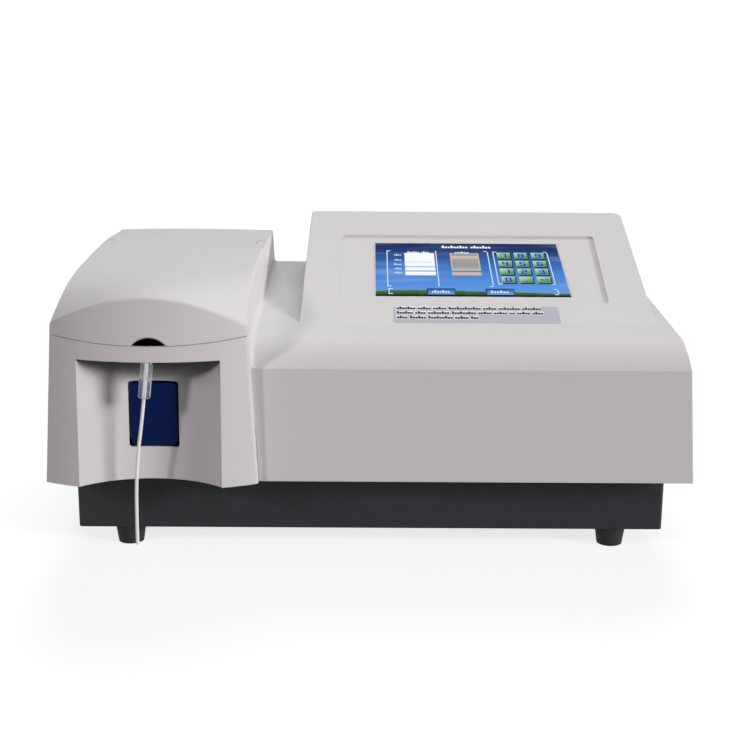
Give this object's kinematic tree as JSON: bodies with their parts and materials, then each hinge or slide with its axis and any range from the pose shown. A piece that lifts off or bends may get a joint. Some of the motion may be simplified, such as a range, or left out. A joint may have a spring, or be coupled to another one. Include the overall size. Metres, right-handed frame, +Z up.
{
  "type": "spectrophotometer",
  "caption": "Bench spectrophotometer for liquid samples: hanging sipper tube and key in a niche, hinged flow-cell lid, tilted touch display on a dark base.",
  "frame": {"origin": "centre of the footprint at table height, under the feet", "axes": "+X to the right along the width, +Y to the rear, +Z up"},
  "size_m": [0.45, 0.3137, 0.2022],
  "materials": {
    "housing_plastic": "fine textured ABS, warm light grey",
    "key_plastic": "satin dark blue",
    "black_plastic": "satin black",
    "rocker_plastic": "gloss black",
    "red_plastic": "satin red",
    "tray_plastic": "satin dark grey",
    "outlet_plastic": "natural nylon",
    "pump_plastic": "satin charcoal",
    "rotor_plastic": "satin grey",
    "cover_plastic": "clear",
    "clear_tube": "clear silicone",
    "white_tube": "white fluoropolymer",
    "steel": "ground",
    "steel_sheet": "zinc plated",
    "screw_steel": "zinc plated",
    "guard_chrome": "plated wire",
    "port_metal": "nickel plated",
    "motor_metal": "black steel",
    "brass": "nickel brass",
    "tray_paint": "dark grey powder coat",
    "foot_rubber": "matt black",
    "screen_glass": "glass with white printed border",
    "lcd_metal": "satin",
    "label_film": "printed film",
    "anodised_black": "black anodised",
    "bare_aluminium": "machined",
    "psu_metal": "perforated case",
    "lens_glass": "clear",
    "filter_glass": "coated",
    "ceramic": "white ceramic",
    "circuit_board": "green solder mask"
  },
  "bodies": {
    "instrument": {"upper_housing": "housing_plastic", "sample_front_panel": "housing_plastic", "lid_hinge_pins": "steel", "key_bracket": "steel_sheet", "key_switch": "black_plastic", "sipper_nipple": "steel", "sipper_sleeve": "clear_tube", "sipper_tube": "white_tube", "base_tray": "tray_paint", "rubber_feet": "foot_rubber", "foot_screws": "screw_steel", "housing_screws": "screw_steel", "touch_glass": "screen_glass", "lcd_module": "lcd_metal", "display_bracket": "steel_sheet", "display_screws": "screw_steel", "caution_label": "label_film", "rear_panel": "tray_paint", "power_inlet": "black_plastic", "inlet_pins": "brass", "power_switch": "black_plastic", "fan_frame": "black_plastic", "fan_guard": "guard_chrome", "fan_screws": "screw_steel", "serial_port": "port_metal", "usb_port": "port_metal", "waste_outlet": "outlet_plastic", "optical_bench": "anodised_black", "condenser_lens": "lens_glass", "lamp_house": "bare_aluminium", "lamp_socket": "ceramic", "halogen_lamp": "lens_glass", "filter_motor": "motor_metal", "flow_cell_block": "bare_aluminium", "flow_cell": "lens_glass", "flow_cell_cap": "black_plastic", "peltier_module": "ceramic", "heat_sink": "bare_aluminium", "detector_board": "circuit_board", "bay_tray": "tray_plastic", "pump_body": "pump_plastic", "pump_tube": "clear_tube", "pump_cover": "cover_plastic", "pump_motor": "motor_metal", "inlet_tube": "clear_tube", "cell_tube": "clear_tube", "main_board": "circuit_board", "power_supply": "psu_metal"},
    "lid": {"sample_lid": "housing_plastic"},
    "key": {"aspirate_key": "key_plastic"},
    "plunger": {"switch_plunger": "red_plastic"},
    "rocker": {"power_rocker": "rocker_plastic"},
    "fan": {"fan_rotor": "black_plastic"},
    "wheel": {"filter_wheel": "anodised_black", "optical_filters": "filter_glass", "filter_wheel_shaft": "steel"},
    "rotor": {"pump_rotor": "rotor_plastic"},
    "roller_1": {"pump_roller_1": "white_tube"},
    "roller_2": {"pump_roller_2": "white_tube"},
    "roller_3": {"pump_roller_3": "white_tube"}
  },
  "joints": [
    {"name": "lid_hinge", "type": "hinge", "parent": "instrument", "child": "lid", "pos_m": [-0.1517, 0.075, 0.1803], "axis": [-1, 0, 0], "range_deg": [0, 82]},
    {"name": "key_press", "type": "slide", "parent": "instrument", "child": "key", "axis": [0, 1, 0], "range_m": [0, 0.003], "stiffness_N_per_m": 400, "springref_m": -0.002},
    {"name": "plunger_press", "type": "slide", "parent": "instrument", "child": "plunger", "axis": [0, 1, 0], "range_m": [0, 0.003]},
    {"name": "switch_rock", "type": "hinge", "parent": "instrument", "child": "rocker", "pos_m": [0.118, 0.1471, 0.095], "axis": [1, 0, 0], "range_deg": [0, 16]},
    {"name": "fan_spin", "type": "hinge", "parent": "instrument", "child": "fan", "pos_m": [0.04, 0.138, 0.106], "axis": [0, 1, 0], "continuous": true},
    {"name": "filter_wheel_spin", "type": "hinge", "parent": "instrument", "child": "wheel", "pos_m": [-0.0715, -0.07, 0.072], "axis": [1, 0, 0], "continuous": true},
    {"name": "pump_spin", "type": "hinge", "parent": "instrument", "child": "rotor", "pos_m": [-0.152, 0.01, 0.131], "axis": [0, 0, 1], "continuous": true},
    {"name": "roller_1_spin", "type": "hinge", "parent": "rotor", "child": "roller_1", "pos_m": [-0.152, 0.025, 0.131], "axis": [0, 0, 1], "continuous": true},
    {"name": "roller_2_spin", "type": "hinge", "parent": "rotor", "child": "roller_2", "pos_m": [-0.16499, 0.0025, 0.131], "axis": [0, 0, 1], "continuous": true},
    {"name": "roller_3_spin", "type": "hinge", "parent": "rotor", "child": "roller_3", "pos_m": [-0.13901, 0.0025, 0.131], "axis": [0, 0, 1], "continuous": true}
  ],
  "couplings": [
    {"joint": "plunger_press", "follows": "key_press", "ratio": 1},
    {"joint": "roller_1_spin", "follows": "pump_spin", "ratio": -4.1},
    {"joint": "roller_2_spin", "follows": "pump_spin", "ratio": -4.1},
    {"joint": "roller_3_spin", "follows": "pump_spin", "ratio": -4.1}
  ]
}
